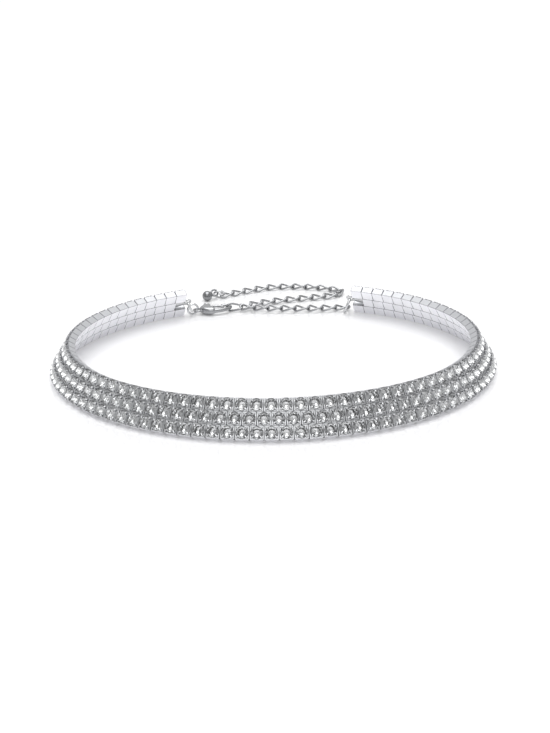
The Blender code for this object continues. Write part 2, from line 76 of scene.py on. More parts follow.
# Stamped cup: tray, prongs and the bar that joins it to the next. The real cups touch, so
# each tray closes the solids' gaps along the row and up the slope.
TRAY_LENGTH = CUP_PITCH - 0.08 * MM
TRAY_WIDTH = CUP_WIDTH + 0.17 * MM
TRAY_HEIGHT = 2.25 * MM
TRAY_CORNER = 0.2 * MM
TRAY_EDGE = 0.08 * MM
LIP_RADIUS = 1.75 * MM
LIP_RISE = 0.02 * MM
SEAT_PLAY = 0.02 * MM
SEAT_DEPTH = 0.9 * MM
PRONG_WIRE = 0.5 * MM
PRONG_TIP_SHARE = 0.8
PRONG_PATH = ((2.0, 1.2), (1.94, 2.0), (1.84, 2.5), (1.6, 2.7), (1.36, 2.72))
BAR_WIDTH = 1.3 * MM
BAR_THICKNESS = 0.5 * MM
BAR_LEVEL = 0.14 * MM
BAR_OVERLAP = 0.1 * MM

# Which faces of a cup wear which finish, and so take painted light or painted shade: how much of a face's
# direction must lie out of the wall, up its slope or along the row
BACK_FACING = -0.8
EDGE_FACING = 0.98
SEAM_FACING = 0.2
HALF_FACING = 0.5

# Round brilliant stone, measured from its girdle, with an eightfold cut
FACETS = 8
STONE_RADIUS = 1.7 * MM
TABLE_RADIUS = 1.1 * MM
STAR_RADIUS = 1.4 * MM
CROWN_HEIGHT = 0.53 * MM
STAR_HEIGHT = 0.29 * MM
GIRDLE_HEIGHT = 0.06 * MM
GIRDLE_LEVEL = 2.44 * MM
PAVILION_DEPTH = 0.95 * MM
PAVILION_MID_RADIUS = 0.4 * MM
PAVILION_MID_SHARE = 0.8
STONE_WOBBLE = math.radians(2.0)
STONE_SEED = 7

# End tabs
TAB_LENGTH = 3.9 * MM
TAB_ROOT_WIDTH = 2.9 * MM
TAB_TIP_WIDTH = 1.3 * MM
TAB_THICKNESS = 0.7 * MM
TAB_EMBED = 0.1 * MM
TAB_SHOULDER = 1.2 * MM
TAB_WORN_EDGE = 0.16 * MM
TAB_LOOP_HOLE = 1.5 * MM
TAB_LOOP_WIRE = 0.65 * MM

# Jump rings: their wire, and the point where its two ends meet in a fine seam
RING_WIRE = 0.7 * MM
RING_POINTS = 64
RING_SEAM_POINT = 10
RING_SEAM_SHARE = 0.9

# Extender chain, as in the solids
LINK_LENGTH = 5.65 * MM
LINK_WIDTH = 3.1 * MM
LINK_WIRE = 0.7 * MM
LINK_TWIST = math.radians(45)
LINK_SINK = 0.3 * MM
LINK_PLAY = 0.04 * MM
FIRST_ROLL = math.radians(7)
NOSE_TURN = math.radians(-14)
CAUGHT_PULL = Vector((0.97, -0.05, 0.0)).normalized()
CHAIN_TURN = math.radians(24)
RIGHT_CHAIN_OFFSET = Vector((0.95, 0.1, 0.05)) * MM
RIGHT_RING_DIAMETER = 6.0 * MM
RIGHT_RING_LEAN = Vector((-0.31, 0.36, -0.88)).normalized()
TAIL_ROUTE = [
    Vector((-5.2, 54.6, 0.3)) * MM,
    Vector((2.7, 58.1, 0.0)) * MM,
    Vector((9.7, 59.9, 0.0)) * MM,
    Vector((16.4, 61.2, 0.0)) * MM,
    Vector((21.4, 62.6, 0.0)) * MM,
    Vector((24.9, 66.4, 0.0)) * MM,
    Vector((21.2, 69.8, 0.0)) * MM,
    Vector((13.6, 72.6, 0.0)) * MM,
    Vector((6.5, 73.6, 0.0)) * MM,
    Vector((-0.7, 73.0, 0.0)) * MM,
    Vector((-7.8, 70.2, 0.0)) * MM,
    Vector((-13.6, 67.0, 0.0)) * MM,
    Vector((-18.4, 64.3, 0.05)) * MM,
]

# Lobster clasp
CLASP_LENGTH = 13.6 * MM
CLASP_WIDTH = 6.8 * MM
CLASP_THICKNESS = 2.4 * MM
CLASP_YAW = math.radians(16)
CLASP_MELT = 0.08 * MM
CLASP_SMOOTHING = 12
CLASP_SLOT_END = 0.60
CLASP_EYE_HOLE = 2.0 * MM
CLASP_EYE_WIRE = 0.7 * MM
HOOK_ROOT_WIRE = 1.7 * MM
HOOK_NOSE_WIRE = 1.0 * MM
HOOK_CENTRE = 0.62
HOOK_START = math.radians(-118)
HOOK_END = math.radians(62)
HOOK_TAPER_END = math.radians(-20)
CLASP_OUTLINE = (
    (0.17, -0.12), (0.26, -0.33), (0.38, -0.48), (0.52, -0.50), (0.53, -0.27), (0.46, -0.14),
    (0.45, 0.10), (0.49, 0.26), (0.50, 0.42), (0.40, 0.46), (0.27, 0.32), (0.17, 0.12),
)
WORN_EDGE = ((-0.5, 0.72), (-0.36, 0.9), (-0.12, 1.0), (0.12, 1.0), (0.36, 0.9), (0.5, 0.72))
PIVOT = (0.41, 0.21)
LEVER_ARM = ((0.41, 0.21), (0.53, 0.29), (0.64, 0.27), (0.73, 0.165), (0.78, 0.12))
LEVER_THICKNESS = 1.0 * MM
LEVER_ARM_WIRE = 0.9 * MM
LEVER_MELT = 0.07 * MM
LEVER_SMOOTHING = 4
BOSS_DIAMETER = 2.3 * MM
PIN_DIAMETER = 0.8 * MM
RIVET_HEAD = 0.16 * MM
RIVET_DOME = 0.14 * MM
TRIGGER_LENGTH = 2.2 * MM
TRIGGER_LEAN = Vector((-0.1, 1.0, 0)).normalized()
TRIGGER_TIP_SHARE = 1.15

# Ball drop: its neck is given by shares of the ball's radius and of the collar's
BALL_DIAMETER = 3.5 * MM
BALL_COLLAR = 0.32
BALL_NECK = ((1.0, 0.94), (1.06, 0.8), (1.06, 0.0))
DROP_LOOP_HOLE = 1.6 * MM
DROP_LOOP_WIRE = 0.7 * MM
DROP_RING_DIAMETER = 4.4 * MM
DROP_RING_RISE = 0.42

# How the making of a surface shows: the noise behind its waves and the height of its relief
WAVE_DETAIL = 3.0
WAVE_ROUGHNESS = 0.6
WAVE_RANGE = (0.3, 0.7)
RELIEF_HEIGHT = 0.02 * MM

# Studio light: how bright the dim room, the white sweep behind, the key softbox high in front
# and the softbox overhead look, and over which directions each of the last three fades in
ROOM_LIGHT = 0.62
SWEEP_LIGHT = 0.86
KEY_LIGHT = 0.9
TOP_LIGHT = 2.8
SWEEP_FADE = (0.05, 0.4)
KEY_ELEVATION = math.radians(45)
KEY_FADE = (math.cos(math.radians(26)), math.cos(math.radians(16)))
TOP_FADE = (0.82, 0.95)
FLOOR_HALF = 6.0

# Camera: where it stands from the collar's centre on the floor, and its long lens
CAMERA_DISTANCE = 341 * MM
CAMERA_ELEVATION = math.radians(21.68)
CAMERA_ROLL = -0.0183
CAMERA_LENS = 56.17
CAMERA_SENSOR = 36.0
CAMERA_SHIFT = (0.0023, -0.0019)
CAMERA_CLIP = (0.01, 50.0)

# Domed end of a wire: how far its last ring reaches and rises, as shares of the wire's radius
# and diameter
DOME_REACH = 0.72
DOME_RISE = 0.34

# How finely the round shapes are cut: points round each, and the steps of edges and of a search
TAB_LOOP_POINTS = 40
HOOK_POINTS = 36
EYE_POINTS = 48
PIN_POINTS = 32
HOLE_POINTS = 24
BOSS_POINTS = 40
BALL_POINTS = 48
BALL_LEVELS = 30
DROP_LOOP_POINTS = 48
EDGE_SEGMENTS = 3
TRIGGER_STEPS = 5
BOW_STEPS = 600
BOW_TOLERANCE = 0.0001 * MM


# ---- Mesh helpers

def mesh_object(name, vertices, faces, materials, indices=None, smooth=False):
    """New object in the scene, with the number of each face's material when there are several."""
    mesh = bpy.data.meshes.new(name)
    mesh.from_pydata([tuple(v) for v in vertices], [], [tuple(f) for f in faces])
    for material in materials:
        mesh.materials.append(material)
    if indices is not None:
        mesh.polygons.foreach_set("material_index", indices)
    mesh.polygons.foreach_set("use_smooth", [smooth] * len(mesh.polygons))
    mesh.update()
    item = bpy.data.objects.new(name, mesh)
    bpy.context.scene.collection.objects.link(item)
    return item


def frame_of(origin, along, up):
    """Matrix whose X axis runs along a direction and whose Z axis leans to another."""
    x_axis = Vector(along).normalized()
    y_axis = Vector(up).cross(x_axis).normalized()
    z_axis = x_axis.cross(y_axis)
    matrix = Matrix((x_axis, y_axis, z_axis)).transposed().to_4x4()
    matrix.translation = Vector(origin)
    return matrix


def tube(points, diameters, closed, sides=14, start_side=None):
    """Round wire through points: vertices and faces, with domed ends when it is open."""
    count = len(points)
    tangents = []
    sides_at = []
    for index, point in enumerate(points):
        before = points[index - 1] if index or closed else point
        after = points[(index + 1) % count] if index + 1 < count or closed else point
        tangents.append((after - before).normalized())
        side = sides_at[-1] if sides_at else Vector(start_side or tangents[0].orthogonal())
        sides_at.append((side - tangents[-1] * side.dot(tangents[-1])).normalized())
    untwist = 0.0
    if closed:
        carried = (sides_at[-1] - tangents[0] * sides_at[-1].dot(tangents[0])).normalized()
        untwist = math.atan2(carried.cross(sides_at[0]).dot(tangents[0]), carried.dot(sides_at[0]))
    vertices = []
    faces = []
    for index, point in enumerate(points):
        across = tangents[index].cross(sides_at[index])
        for step in range(sides):
            turn = 2 * math.pi * step / sides + untwist * index / count
            reach = sides_at[index] * math.cos(turn) + across * math.sin(turn)
            vertices.append(point + reach * diameters[index] / 2)
    for ring in range(count if closed else count - 1):
        low = ring * sides
        high = (ring + 1) % count * sides
        for step in range(sides):
            after = (step + 1) % sides
            faces.append((low + step, low + after, high + after, high + step))
    if not closed:
        for end, inward in ((0, 1), (count - 1, -1)):
            middle = points[end]
            outward = (middle - points[end + inward]).normalized()
            rim = [end * sides + step for step in range(sides)]
            dome = len(vertices)
            for step in range(sides):
                reach = vertices[rim[step]] - middle
                vertices.append(middle + reach * DOME_REACH + outward * diameters[end] * DOME_RISE)
            tip = len(vertices)
            vertices.append(middle + outward * diameters[end] / 2)
            for step in range(sides):
                after = (step + 1) % sides
                faces.append((rim[step], rim[after], dome + after, dome + step))
                faces.append((dome + step, dome + after, tip))
    return vertices, faces


def circle_points(centre, radius, count):
    """Points round a level circle."""
    turns = [2 * math.pi * step / count for step in range(count)]
    return [centre + Vector((radius * math.cos(turn), radius * math.sin(turn), 0)) for turn in turns]


def lofted(loops):
    """Closed solid through loops of as many points each, from the first loop to the last."""
    count = len(loops[0])
    vertices = [point for loop in loops for point in loop]
    last = len(vertices) - count
    faces = [tuple(reversed(range(count))), tuple(range(last, last + count))]
    for low in range(0, last, count):
        high = low + count
        for i in range(count):
            j = (i + 1) % count
            faces.append((low + i, low + j, high + j, high + i))
    return vertices, faces


def turned(profile, sides):
    """Solid turned round the X axis from (x, radius) points, the first and the last on the axis."""
    vertices = [Vector((profile[0][0], 0, 0)), Vector((profile[-1][0], 0, 0))]
    rings = profile[1:-1]
    for x, radius in rings:
        for step in range(sides):
            turn = 2 * math.pi * step / sides
            vertices.append(Vector((x, radius * math.cos(turn), radius * math.sin(turn))))
    faces = []
    for step in range(sides):
        after = (step + 1) % sides
        last = 2 + (len(rings) - 1) * sides
        faces.append((0, 2 + after, 2 + step))
        faces.append((1, last + step, last + after))
        for ring in range(len(rings) - 1):
            low = 2 + ring * sides
            high = low + sides
            faces.append((low + step, low + after, high + after, high + step))
    return vertices, faces


def plate(outline, thickness):
    """Flat plate, half above and half below its outline."""
    return lofted([[point + UP * z for point in outline] for z in (-thickness / 2, thickness / 2)])


def joined(parts):
    """One list of vertices and one of faces from several."""
    vertices = []
    faces = []
    for part_vertices, part_faces in parts:
        start = len(vertices)
        vertices += list(part_vertices)
        faces += [tuple(index + start for index in face) for face in part_faces]
    return vertices, faces


def moved(part, matrix):
    """Vertices and faces, with the vertices put where a matrix takes them."""
    vertices, faces = part
    return [matrix @ Vector(vertex) for vertex in vertices], faces


def laid_on_floor(part):
    """The part lifted by what little of it would reach under the floor."""
    vertices, faces = part
    lift = max(0.0, -min(vertex.z for vertex in vertices))
    return [vertex + UP * lift for vertex in vertices], faces


def turned_outwards(item):
    """Makes every face look outwards."""
    shape = bmesh.new()
    shape.from_mesh(item.data)
    bmesh.ops.recalc_face_normals(shape, faces=shape.faces)
    shape.to_mesh(item.data)
    shape.free()
    return item


def apply_modifiers(item):
    """Puts what the modifiers make in place of the object's mesh."""
    graph = bpy.context.evaluated_depsgraph_get()
    mesh = bpy.data.meshes.new_from_object(item.evaluated_get(graph))
    item.modifiers.clear()
    item.data = mesh
    return item


# ---- Materials

def linear(hex_colour):
    """Linear RGBA of an sRGB hex colour."""
    channels = [int(hex_colour[i:i + 2], 16) / 255 for i in (1, 3, 5)]
    return (*[c / 12.92 if c <= 0.04045 else ((c + 0.055) / 1.055) ** 2.4 for c in channels], 1.0)


def add_node(owner, kind, settings=None, **links):
    """Adds a node to a material or world, with its settings and its links from other nodes' outputs.

    A socket is given by its name or its number, which a link writes as _1 for the second one.
    """
    tree = owner.node_tree
    node = tree.nodes.new(kind)
    for key, value in (settings or {}).items():
        if isinstance(key, str) and hasattr(node, key):
            setattr(node, key, value)
        else:
            node.inputs[key].default_value = value
    for key, output in links.items():
        socket = int(key[1:]) if key[0] == "_" else key.replace("_", " ")
        tree.links.new(output, node.inputs[socket])
    return node


def surfaced(name, settings, grain_mm, haze, depth):
    """A material whose gloss and relief waver with the grain that its making leaves.

    Grain is the width of one wave, haze the roughness range across them, and depth the relief.
    """
    material = bpy.data.materials.new(name)
    material.use_nodes = True
    shader = material.node_tree.nodes["Principled BSDF"]
    for key, value in settings.items():
        shader.inputs[key].default_value = value
    place = add_node(material, "ShaderNodeTexCoord")
    waves = add_node(
        material, "ShaderNodeTexNoise",
        {"Scale": 1 / (grain_mm * MM), "Detail": WAVE_DETAIL, "Roughness": WAVE_ROUGHNESS},
        Vector=place.outputs["Object"],
    )
    sheen = add_node(
        material, "ShaderNodeMapRange",
        {"From Min": WAVE_RANGE[0], "From Max": WAVE_RANGE[1], "To Min": haze[0], "To Max": haze[1]},
        Value=waves.outputs["Fac"],
    )
    relief = add_node(
        material, "ShaderNodeBump",
        {"Strength": depth, "Distance": RELIEF_HEIGHT},
        Height=waves.outputs["Fac"],
    )
    material.node_tree.links.new(sheen.outputs["Result"], shader.inputs["Roughness"])
    material.node_tree.links.new(relief.outputs["Normal"], shader.inputs["Normal"])
    return material


def make_materials():
    made = {}
    # Rhodium plated brass, polished: a cool white metal, with the faint waves of the polishing wheel
    made["plate"] = surfaced(
        "rhodium_plated_brass_polished", {"Base Color": linear("#d6d7d8"), "Metallic": 1.0},
        grain_mm=0.6, haze=(0.14, 0.28), depth=0.25,
    )
    # Nickel plated steel, tumbled: a greyer, bright metal whose soft waves break up the highlights
    made["wire"] = surfaced(
        "nickel_plated_steel_tumbled", {"Base Color": linear("#a3a4a6"), "Metallic": 1.0},
        grain_mm=0.6, haze=(0.12, 0.25), depth=0.25,
    )
    # Nickel plated steel, buffed to a mirror: dark towards the room and white towards the lights
    made["ball"] = surfaced(
        "nickel_plated_steel_buffed", {"Base Color": linear("#8b8c8e"), "Metallic": 1.0},
        grain_mm=0.6, haze=(0.03, 0.07), depth=0.05,
    )
    # Rhodium plated brass, stamped into trays: bright, with the slight ripple of the stamping die
    made["cup"] = surfaced(
        "rhodium_plated_brass_stamped", {"Base Color": linear("#d4d5d7"), "Metallic": 1.0},
        grain_mm=0.35, haze=(0.24, 0.4), depth=0.35,
    )
    # The same brass, satin on the trays' backs and lower edges, with no mirror image: its nearly white
    # colour is painted light, a painted reflection of the white floor
    made["cup_back_painted_light"] = surfaced(
        "rhodium_plated_brass_satin_painted_light", {"Base Color": linear("#fafafd"), "Metallic": 1.0},
        grain_mm=0.35, haze=(0.42, 0.84), depth=0.3,
    )
    # The same brass on the trays' upper rims, a duller white than the backs: its greyer colour is painted
    # shade on these upward faces
    made["cup_rim_painted_shade"] = surfaced(
        "rhodium_plated_brass_rim_painted_shade", {"Base Color": linear("#c6c7ca"), "Metallic": 1.0},
        grain_mm=0.35, haze=(0.35, 0.6), depth=0.3,
    )
    # Dark grey on the trays' end faces and upper bevels, seen as grey lines: painted shade of the gaps
    # between the trays and along the rows' upper edges
    made["seam"] = surfaced(
        "cup_gap_painted_shade", {"Base Color": linear("#85868a"), "Metallic": 1.0},
        grain_mm=0.2, haze=(0.4, 0.6), depth=0.3,
    )
    # Cut glass, polished: clear, so that the eye sees the foil through its facets
    made["glass"] = surfaced(
        "cut_glass_polished", {"Base Color": linear("#ffffff"), "IOR": 1.56, "Transmission Weight": 1.0},
        grain_mm=1.0, haze=(0.0, 0.01), depth=0.02,
    )
    # Silver foil, mirror-coated on the stone's back: throws the light back out, cut up by the facets
    made["foil"] = surfaced(
        "silver_foil_mirror_coated", {"Base Color": linear("#dadbdc"), "Metallic": 1.0},
        grain_mm=0.8, haze=(0.07, 0.15), depth=0.05,
    )
    # Opal acrylic sheet, cast and lit from below: a white body under a clear, faintly hazy gloss
    made["floor"] = surfaced(
        "opal_acrylic_cast",
        {"Base Color": linear("#e4e4e5"), "IOR": 1.49, "Specular IOR Level": 0.9,
         "Emission Color": linear("#ffffff"), "Emission Strength": 0.08},
        grain_mm=40.0, haze=(0.06, 0.1), depth=0.02,
    )
    return made


# ---- Collar: its oval, rows, cups and stones

def oval_normal(angle):
    """Direction out of the collar's oval, level with the floor."""
    return Vector((math.cos(angle) / BASE_HALF_WIDTH, math.sin(angle) / BASE_HALF_DEPTH, 0)).normalized()


def collar_point(angle, slant, depth):
    """Point of the collar: up its slope by slant, and out from its inner face by depth."""
    normal = oval_normal(angle)
    base = Vector((BASE_HALF_WIDTH * math.cos(angle), BASE_HALF_DEPTH * math.sin(angle), 0))
    out = depth * math.cos(FLARE) - slant * math.sin(FLARE)
    rise = slant * math.cos(FLARE) + depth * math.sin(FLARE)
    return COLLAR_CENTRE + base + out * normal + rise * UP


def collar_axes(angle):
    """Directions along the row, up the slope and out of the wall at an angle."""
    normal = oval_normal(angle)
    along = UP.cross(normal)
    slope = UP * math.cos(FLARE) - normal * math.sin(FLARE)
    out = normal * math.cos(FLARE) + UP * math.sin(FLARE)
    return along, slope, out


class RowPath:
    """One row's centreline, measured from the front."""

    def __init__(self, row, count):
        self.row = row
        self.count = count
        self.slant = (row + 0.5) * CUP_WIDTH + row * GAP
        self.angles = np.linspace(FRONT - ROW_REACH, FRONT + ROW_REACH, ROW_STEPS)
        places = np.array([collar_point(angle, self.slant, CUP_DEPTH / 2) for angle in self.angles])
        steps = np.linalg.norm(np.diff(places, axis=0), axis=1)
        self.arcs = np.concatenate(([0.0], np.cumsum(steps)))
        self.arcs -= np.interp(FRONT, self.angles, self.arcs)

    def angle(self, place):
        """Angle of the oval at a distance along the row."""
        return float(np.interp(place + LAY_SHIFT, self.arcs, self.angles))

    def half_length(self):
        return ((self.count - 1) * CUP_PITCH + CUP_LENGTH) / 2

    def cup_frames(self):
        """A frame for each cup: X along the row, Y up the slope and Z out, on the inner face."""
        close = (1 - self.row) * (TRAY_WIDTH - CUP_WIDTH) / 2
        for cup in range(self.count):
            angle = self.angle((cup - (self.count - 1) / 2) * CUP_PITCH)
            matrix = Matrix(collar_axes(angle)).transposed().to_4x4()
            matrix.translation = collar_point(angle, self.slant + close, 0)
            yield matrix


def rounded_square(half_x, half_y, corner, steps=3):
    """Outline points of a rounded square, starting at its right side."""
    points = []
    for quarter in range(4):
        sign_x = 1 if quarter in (0, 3) else -1
        sign_y = 1 if quarter in (0, 1) else -1
        for step in range(steps + 1):
            turn = math.pi / 2 * (quarter + step / steps)
            points.append((
                sign_x * (half_x - corner) + corner * math.cos(turn),
                sign_y * (half_y - corner) + corner * math.sin(turn),
            ))
    return points


def cup_shape():
    """Tray with an open mouth, four prongs bent over the stone, and the bar to the next cup."""
    half_x = TRAY_LENGTH / 2
    half_y = TRAY_WIDTH / 2
    outline = rounded_square(half_x, half_y, TRAY_CORNER)
    inset = rounded_square(half_x - TRAY_EDGE, half_y - TRAY_EDGE, TRAY_CORNER - TRAY_EDGE / 2)
    lip = [Vector(point).normalized() * LIP_RADIUS for point in outline]
    seat = [Vector(point).normalized() * (STONE_RADIUS - SEAT_PLAY) for point in outline]
    levels = (
        (inset, 0.0), (outline, TRAY_EDGE), (outline, TRAY_HEIGHT - TRAY_EDGE), (inset, TRAY_HEIGHT),
        (lip, TRAY_HEIGHT + LIP_RISE), (seat, TRAY_HEIGHT + LIP_RISE), (seat, TRAY_HEIGHT - SEAT_DEPTH),
    )
    parts = [lofted([[Vector((x, y, z)) for x, y in loop] for loop, z in levels])]
    for quarter in range(4):
        turn = math.pi / 4 + math.pi / 2 * quarter
        ray = Vector((math.cos(turn), math.sin(turn), 0))
        path = [ray * reach * MM + UP * rise * MM for reach, rise in PRONG_PATH]
        sizes = [PRONG_WIRE] * (len(path) - 1) + [PRONG_WIRE * PRONG_TIP_SHARE]
        parts.append(tube(path, sizes, False, sides=8))
    bar = []
    for x in (half_x - BAR_OVERLAP, CUP_PITCH - half_x + BAR_OVERLAP):
        corners = ((-1, 0), (1, 0), (1, 1), (-1, 1))
        bar.append([Vector((x, y * BAR_WIDTH / 2, BAR_LEVEL + z * BAR_THICKNESS)) for y, z in corners])
    return joined(parts), lofted(bar)


def stone_shape():
    """Round brilliant cut: crown facets, then pavilion facets, which carry the foil."""
    def ring(radius, height, count, offset):
        turns = [2 * math.pi * (step + offset) / count for step in range(count)]
        return [Vector((radius * math.cos(turn), radius * math.sin(turn), height)) for turn in turns]

    girdle_top = GIRDLE_HEIGHT / 2
    around = 2 * FACETS
    table = ring(TABLE_RADIUS, girdle_top + CROWN_HEIGHT, FACETS, 0)
    star = ring(STAR_RADIUS, girdle_top + STAR_HEIGHT, FACETS, 0.5)
    upper = ring(STONE_RADIUS, girdle_top, around, 0)
    lower = ring(STONE_RADIUS, -girdle_top, around, 0)
    mid = ring(PAVILION_MID_RADIUS, -girdle_top - PAVILION_DEPTH * PAVILION_MID_SHARE, FACETS, 0.5)
    culet = [Vector((0, 0, -girdle_top - PAVILION_DEPTH))]
    vertices = table + star + upper + lower + mid + culet
    # Where the table, star, upper and lower girdle, pavilion middle and culet start in the list
    t, s, u, l, m, c = (share * FACETS for share in (0, 1, 2, 4, 6, 7))
    crown = [tuple(range(FACETS))]
    pavilion = []
    for k in range(FACETS):
        nxt = (k + 1) % FACETS
        prv = (k - 1) % FACETS
        crown.append((t + k, s + k, t + nxt))
        crown.append((t + k, s + prv, u + 2 * k, s + k))
        crown.append((s + k, u + 2 * k, u + 2 * k + 1))
        crown.append((s + k, u + 2 * k + 1, u + (2 * k + 2) % around))
        pavilion.append((l + 2 * k, m + k, l + 2 * k + 1))
        pavilion.append((l + 2 * k + 1, m + k, l + (2 * k + 2) % around))
        pavilion.append((l + 2 * k, m + prv, c, m + k))
    for k in range(around):
        nxt = (k + 1) % around
        crown.append((u + k, l + k, l + nxt, u + nxt))
    return vertices, crown, pavilion


def build_rows(materials):
    """Three rows, each as one piece of cups and one of stones, with a finish for each face, some of which
    paint light and shade.
    """
    cup, bar = cup_shape()
    stone_vertices, crown, pavilion = stone_shape()
    picker = random.Random(STONE_SEED)
    cup_finishes = [materials[key] for key in ("cup", "cup_back_painted_light", "cup_rim_painted_shade", "seam")]
    back, rim, seam = 1, 2, 3
    for row, (name, node, count) in enumerate(ROWS):
        cups = []
        stones = []
        frames = list(RowPath(row, count).cup_frames())
        for index, matrix in enumerate(frames):
            cups.append(moved(cup, matrix))
            if index + 1 < count:
                cups.append(moved(bar, matrix))
            wobble = Matrix.Rotation(picker.uniform(-1, 1) * STONE_WOBBLE, 4, "X")
            wobble @= Matrix.Rotation(picker.uniform(-1, 1) * STONE_WOBBLE, 4, "Y")
            turn = Matrix.Rotation(picker.uniform(0, math.pi / 4), 4, "Z")
            place = matrix @ Matrix.Translation((0, 0, GIRDLE_LEVEL)) @ wobble @ turn
            stones.append(moved((stone_vertices, crown + pavilion), place))
        vertices, faces = joined(cups)
        cups_piece = mesh_object(name + "_cups", vertices, faces, cup_finishes)
        turned_outwards(cups_piece)
        faces_each = len(cup[1]) + len(bar[1])
        for face in cups_piece.data.polygons:
            to_cup = frames[min(face.index // faces_each, count - 1)].to_3x3().transposed()
            along, up_slope, outward = to_cup @ face.normal
            is_end = abs(along) > SEAM_FACING and outward < HALF_FACING
            is_bevel = up_slope > HALF_FACING and (outward < -HALF_FACING or node == "strand_top")
            # The finish goes by the face's direction and paints light and shade: backs and lower edges
            # take the near-white painted reflection, upper rims a greyer painted shade, and end faces and
            # upper bevels a dark grey painted shade
            if outward < BACK_FACING or up_slope < -EDGE_FACING:
                face.material_index = back
            elif up_slope > EDGE_FACING:
                face.material_index = rim
            elif is_end or is_bevel:
                face.material_index = seam
        vertices, faces = joined(stones)
        glass_or_foil = ([0] * len(crown) + [1] * len(pavilion)) * count
        stone_finishes = [materials["glass"], materials["foil"]]
        stones_piece = mesh_object(name + "_stones", vertices, faces, stone_finishes, glass_or_foil)
        turned_outwards(stones_piece)
        for piece in (cups_piece, stones_piece):
            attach(piece, CHOKER)
            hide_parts(node)


# ---- End tabs

def tab_frame(side):
    """Frame at a middle row's end: X away from the row."""
    path = RowPath(1, ROWS[1][2])
    angle = path.angle(side * path.half_length())
    along, _, out = collar_axes(angle)
    return frame_of(collar_point(angle, path.slant, CUP_DEPTH / 2), side * along, out)


def loop_place(side):
    """Centre and axis of a tab's loop."""
    matrix = tab_frame(side)
    centre = matrix @ Vector((TAB_LENGTH + (TAB_LOOP_HOLE + TAB_LOOP_WIRE) / 2, 0, 0))
    return centre, matrix.to_3x3() @ UP


def build_end_tab(name, node, side, material):
    """Tapered plate soldered to the row's end, with its loop."""
    matrix = tab_frame(side)
    tip = TAB_LENGTH + TAB_LOOP_WIRE / 2
    edge = ((-TAB_EMBED, TAB_ROOT_WIDTH / 2), (TAB_SHOULDER, TAB_ROOT_WIDTH / 2), (tip, TAB_TIP_WIDTH / 2))
    outline = [Vector((x, -y, 0)) for x, y in edge] + [Vector((x, y, 0)) for x, y in reversed(edge)]
    item = mesh_object(name, *moved(plate(outline, TAB_THICKNESS), matrix), [material])
    bevel = item.modifiers.new("worn_edge", "BEVEL")
    bevel.width = TAB_WORN_EDGE
    bevel.segments = EDGE_SEGMENTS
    apply_modifiers(item)
    item.data.polygons.foreach_set("use_smooth", [True] * len(item.data.polygons))
    radius = (TAB_LOOP_HOLE + TAB_LOOP_WIRE) / 2
    ring = circle_points(Vector((TAB_LENGTH + radius, 0, 0)), radius, TAB_LOOP_POINTS)
    wire = moved(tube(ring, [TAB_LOOP_WIRE] * len(ring), True), matrix)
    loop = mesh_object(name + "_loop", *wire, [material], smooth=True)
    for piece in (item, loop):
        turned_outwards(piece)
        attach(piece, CHOKER)
        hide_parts(node)


# ---- Rings

def ring_of(node):
    """Centre, axis and wire-centre radius of a ring, read from its solid."""
    points = np.array([vertex.co for vertex in frame["nodes"][node].data.vertices])
    points = np.unique(np.round(points, 7), axis=0)
    centre = points.mean(axis=0)
    axis = np.linalg.svd(points - centre)[2][2]
    spread = points - centre
    flat = spread - np.outer(spread @ axis, axis)
    reach = np.linalg.norm(flat, axis=1)
    return Vector(centre), Vector(axis), (reach.max() + reach.min()) / 2


def build_ring(name, node, material):
    """Jump ring bent from round wire, with the fine seam where its ends meet."""
    centre, axis, radius = ring_of(node)
    matrix = frame_of(centre, axis.orthogonal(), axis)
    points = [matrix @ point for point in circle_points(Vector(), radius, RING_POINTS)]
    sizes = [RING_WIRE] * RING_POINTS
    sizes[RING_SEAM_POINT] *= RING_SEAM_SHARE
    ring = laid_on_floor(tube(points, sizes, True, start_side=axis))
    item = turned_outwards(mesh_object(name, *ring, [material], smooth=True))
    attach(item, CHOKER)
    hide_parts(node)
    return centre


# ---- Extender chain

def link_pitch():
    """From one joint to the next, as in the solids, whose links sink a little into each other."""
    return LINK_LENGTH - 2 * LINK_WIRE + LINK_SINK


def link_points(length, steps=7):
    """Centreline of a link: two round ends turned against each other about its length."""
    half_length = (length - LINK_WIRE) / 2
    half_width = (LINK_WIDTH - LINK_WIRE) / 2
    points = []
    for end in (1, -1):
        for step in range(-steps, steps + 1):
            turn = step / steps * math.pi / 2
            x = end * (half_length - half_width + half_width * math.cos(turn))
            points.append((x, end * half_width * math.sin(turn)))
        start = end * (half_length - half_width)
        for share in (0.25, 0.5, 0.75):
            points.append((start * (1 - 2 * share), end * half_width))
    twisted = []
    for x, across in points:
        twist = -LINK_TWIST * x / half_length
        twisted.append(Vector((x, across * math.cos(twist), across * math.sin(twist))))
    return twisted


def smooth_route(points, detail=150):
    """Fine points of a smooth curve through a few chosen ones."""
    ends = [2 * points[0] - points[1], *points, 2 * points[-1] - points[-2]]
    fine = []
    for before, first, second, after in zip(ends, ends[1:], ends[2:], ends[3:]):
        for step in range(detail):
            t = step / detail
            start_share = 2 * t**3 - 3 * t**2 + 1
            start_pull = (t**3 - 2 * t**2 + t) / 2
            end_pull = (t**3 - t**2) / 2
            place = start_share * first + (1 - start_share) * second
            fine.append(place + start_pull * (second - before) + end_pull * (after - first))
    return [*fine, points[-1]]


def joints_along(fine):
    """Points one link's pitch apart along a fine curve."""
    joints = [fine[0]]
    for before, after in zip(fine, fine[1:]):
        if (after - joints[-1]).length >= link_pitch():
            near = (before - joints[-1]).length
            far = (after - joints[-1]).length
            joints.append(before.lerp(after, (link_pitch() - near) / (far - near)))
    return joints


